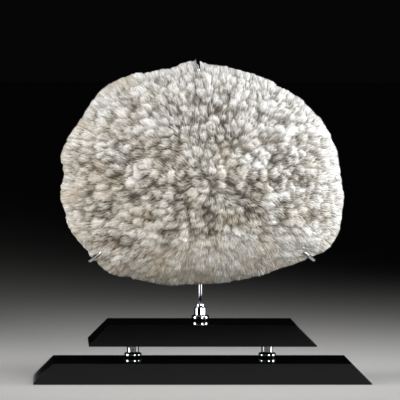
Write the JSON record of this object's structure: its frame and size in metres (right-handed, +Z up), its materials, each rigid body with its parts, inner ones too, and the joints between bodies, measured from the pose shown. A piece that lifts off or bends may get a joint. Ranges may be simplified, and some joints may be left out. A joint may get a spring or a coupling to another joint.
{
  "type": "mushroom coral on a display stand",
  "caption": "Domed mushroom coral with radial septa, held upright by chrome claws on a post over a stepped black slab stand.",
  "frame": {"origin": "centre of the lower slab's underside", "axes": "+Z up, +X to the right along the stand's length, the coral's dome faces -Y"},
  "size_m": [0.392, 0.115, 0.3806],
  "materials": {
    "coral_skeleton": "dry, matte and rough, cream white with brown-grey crevices",
    "black_acrylic": "polished black, sharp reflections",
    "chrome_plate": "bright polished chrome"
  },
  "bodies": {
    "root": {"coral": "coral_skeleton", "base_lower": "black_acrylic", "base_upper": "black_acrylic", "spacer_left": "chrome_plate", "spacer_right": "chrome_plate", "hub": "chrome_plate", "post": "chrome_plate", "knuckle": "chrome_plate", "claw_top": "chrome_plate", "claw_left": "chrome_plate", "claw_right": "chrome_plate"}
  },
  "joints": []
}
